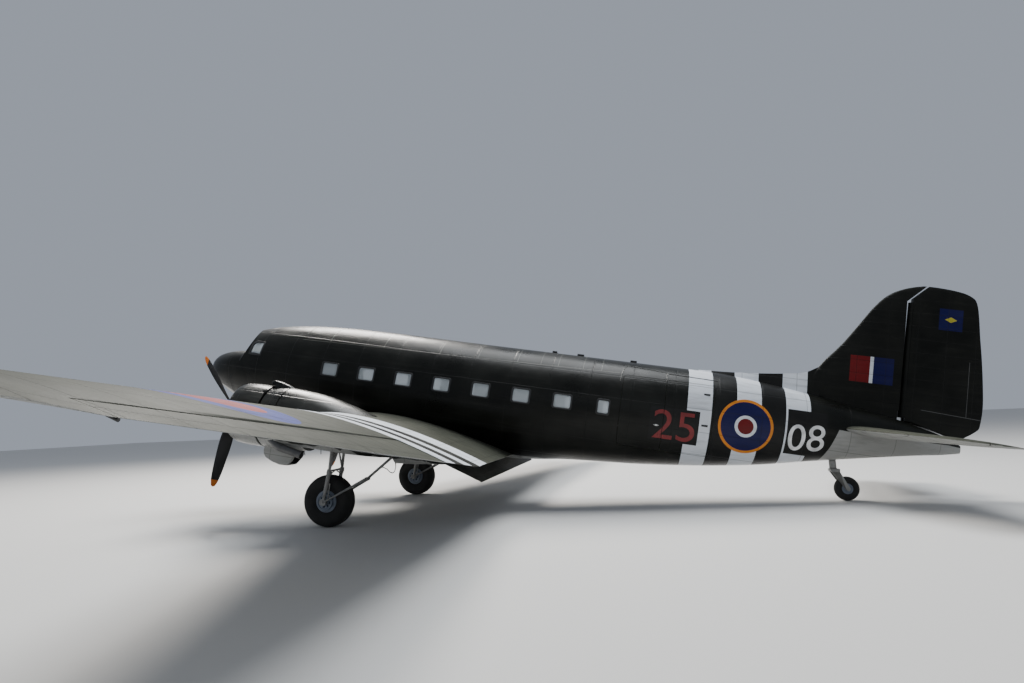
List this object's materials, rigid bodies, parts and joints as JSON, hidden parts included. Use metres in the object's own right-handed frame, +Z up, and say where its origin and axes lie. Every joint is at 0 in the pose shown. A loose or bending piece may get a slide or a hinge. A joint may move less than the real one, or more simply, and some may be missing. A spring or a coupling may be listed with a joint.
{
  "type": "twin-engine military transport plane",
  "caption": "Twin-engine low-wing transport aircraft with tailwheel gear, hollow cabin, cargo doors and moving control surfaces, parked.",
  "frame": {"origin": "on the ground, below the middle of the aircraft's overall box", "axes": "+X to the aircraft's left, +Y aft towards the tail, +Z up from the ground; the nose faces -Y"},
  "size_m": [29.11, 19.5746, 5.0106],
  "materials": {
    "olive_paint": "semi-gloss dark olive drab paint, worn and streaked on top",
    "grey_paint": "satin light neutral grey paint of the undersides",
    "propeller_black": "satin black paint with orange-yellow tips",
    "tyre": "plain black rubber",
    "gear_paint": "light grey painted steel tube",
    "cabin_floor_metal": "ribbed bare metal load floor",
    "cabin_paint": "green interior primer",
    "bench_metal": "bare folded metal seats",
    "seat_leather": "dark brown leather",
    "panel_black": "matt black panel",
    "engine_metal": "dark grey cast and finned metal",
    "window_glass": "clear glazing"
  },
  "bodies": {
    "airframe": {"belly_front": "grey_paint", "belly_rear": "grey_paint", "bench_left": "bench_metal", "bench_right": "bench_metal", "cabin_floor": "cabin_floor_metal", "cabin_roof": "olive_paint", "cabin_side_left": "olive_paint", "cabin_side_right": "olive_paint", "cockpit_bulkhead": "cabin_paint", "cockpit_shell": "olive_paint", "cowling_left": "olive_paint", "cowling_right": "olive_paint", "engine_left": "engine_metal", "engine_right": "engine_metal", "fin": "olive_paint", "gear_leg_left": "gear_paint", "gear_leg_right": "gear_paint", "instrument_panel": "panel_black", "nacelle_left": "olive_paint", "nacelle_right": "olive_paint", "nose_cap": "olive_paint", "oil_cooler_left": "grey_paint", "oil_cooler_right": "grey_paint", "pilot_seat_left": "seat_leather", "pilot_seat_right": "seat_leather", "tail_cone": "olive_paint", "tail_post": "gear_paint", "tailplane_left": "olive_paint", "tailplane_right": "olive_paint", "wing_center": "olive_paint", "wing_outer_left": "olive_paint", "wing_outer_right": "olive_paint"},
    "propeller_left": {"propeller_left": "propeller_black"},
    "propeller_right": {"propeller_right": "propeller_black"},
    "main_wheel_left": {"main_wheel_left": "tyre"},
    "main_wheel_right": {"main_wheel_right": "tyre"},
    "tail_fork": {"tail_fork": "gear_paint"},
    "tail_wheel": {"tail_wheel": "tyre"},
    "rudder": {"rudder": "olive_paint"},
    "elevators": {"elevator_left": "olive_paint", "elevator_right": "olive_paint"},
    "aileron_left": {"aileron_left": "olive_paint"},
    "aileron_right": {"aileron_right": "olive_paint"},
    "flap_center": {"flap_center": "grey_paint"},
    "flap_outer_left": {"flap_outer_left": "grey_paint"},
    "flap_outer_right": {"flap_outer_right": "grey_paint"},
    "cargo_door_front": {"cargo_door_front": "olive_paint"},
    "cargo_door_rear": {"cargo_door_rear": "olive_paint"}
  },
  "joints": [
    {"name": "propeller_left_spin", "type": "hinge", "parent": "airframe", "child": "propeller_left", "pos_m": [2.82, -7.18723, 2.65357], "axis": [0, 0.9834, -0.1815], "continuous": true},
    {"name": "propeller_right_spin", "type": "hinge", "parent": "airframe", "child": "propeller_right", "pos_m": [-2.82, -7.18723, 2.65357], "axis": [0, 0.9834, -0.1815], "continuous": true},
    {"name": "main_wheel_left_spin", "type": "hinge", "parent": "airframe", "child": "main_wheel_left", "pos_m": [2.82, -4.81666, 0.56661], "axis": [1, 0, 0], "continuous": true},
    {"name": "main_wheel_right_spin", "type": "hinge", "parent": "airframe", "child": "main_wheel_right", "pos_m": [-2.82, -4.81666, 0.56661], "axis": [1, 0, 0], "continuous": true},
    {"name": "tail_wheel_swivel", "type": "hinge", "parent": "airframe", "child": "tail_fork", "pos_m": [0, 6.36142, 0.91033], "axis": [0, 0, 1], "continuous": true},
    {"name": "tail_wheel_spin", "type": "hinge", "parent": "tail_fork", "child": "tail_wheel", "pos_m": [0, 6.61016, 0.27462], "axis": [1, 0, 0], "continuous": true},
    {"name": "rudder_hinge", "type": "hinge", "parent": "airframe", "child": "rudder", "pos_m": [0, 8.19429, 3.15492], "axis": [0, 0.1815, 0.9834], "range_deg": [-30, 30]},
    {"name": "elevator_hinge", "type": "hinge", "parent": "airframe", "child": "elevators", "pos_m": [0, 7.75992, 1.4352], "axis": [1, 0, 0], "range_deg": [-20, 30]},
    {"name": "aileron_left_hinge", "type": "hinge", "parent": "airframe", "child": "aileron_left", "pos_m": [6.45, -1.8003, 1.81308], "axis": [0.9917, 0.0917, 0.0901], "range_deg": [-22, 22]},
    {"name": "aileron_right_hinge", "type": "hinge", "parent": "airframe", "child": "aileron_right", "pos_m": [-6.45, -1.8003, 1.81308], "axis": [0.9917, -0.0917, -0.0901], "range_deg": [-22, 22]},
    {"name": "flap_center_hinge", "type": "hinge", "parent": "airframe", "child": "flap_center", "pos_m": [0, -1.97031, 1.44297], "axis": [1, 0, 0], "range_deg": [-18, 27]},
    {"name": "flap_outer_left_hinge", "type": "hinge", "parent": "airframe", "child": "flap_outer_left", "pos_m": [4.13, -1.96966, 1.44646], "axis": [0.993, 0.0214, 0.1159], "range_deg": [-45, 0]},
    {"name": "flap_outer_right_hinge", "type": "hinge", "parent": "airframe", "child": "flap_outer_right", "pos_m": [-4.13, -1.96966, 1.44646], "axis": [0.993, -0.0214, -0.1159], "range_deg": [-45, 0]},
    {"name": "cargo_door_front_hinge", "type": "hinge", "parent": "airframe", "child": "cargo_door_front", "pos_m": [1.262, 1.59711, 2.23717], "axis": [0, -0.1815, -0.9834], "range_deg": [0, 110]},
    {"name": "cargo_door_rear_hinge", "type": "hinge", "parent": "airframe", "child": "cargo_door_rear", "pos_m": [1.09, 3.63469, 1.86106], "axis": [0, 0.1815, 0.9834], "range_deg": [0, 110]}
  ],
  "couplings": [
    {"joint": "aileron_right_hinge", "follows": "aileron_left_hinge", "ratio": -1}
  ]
}
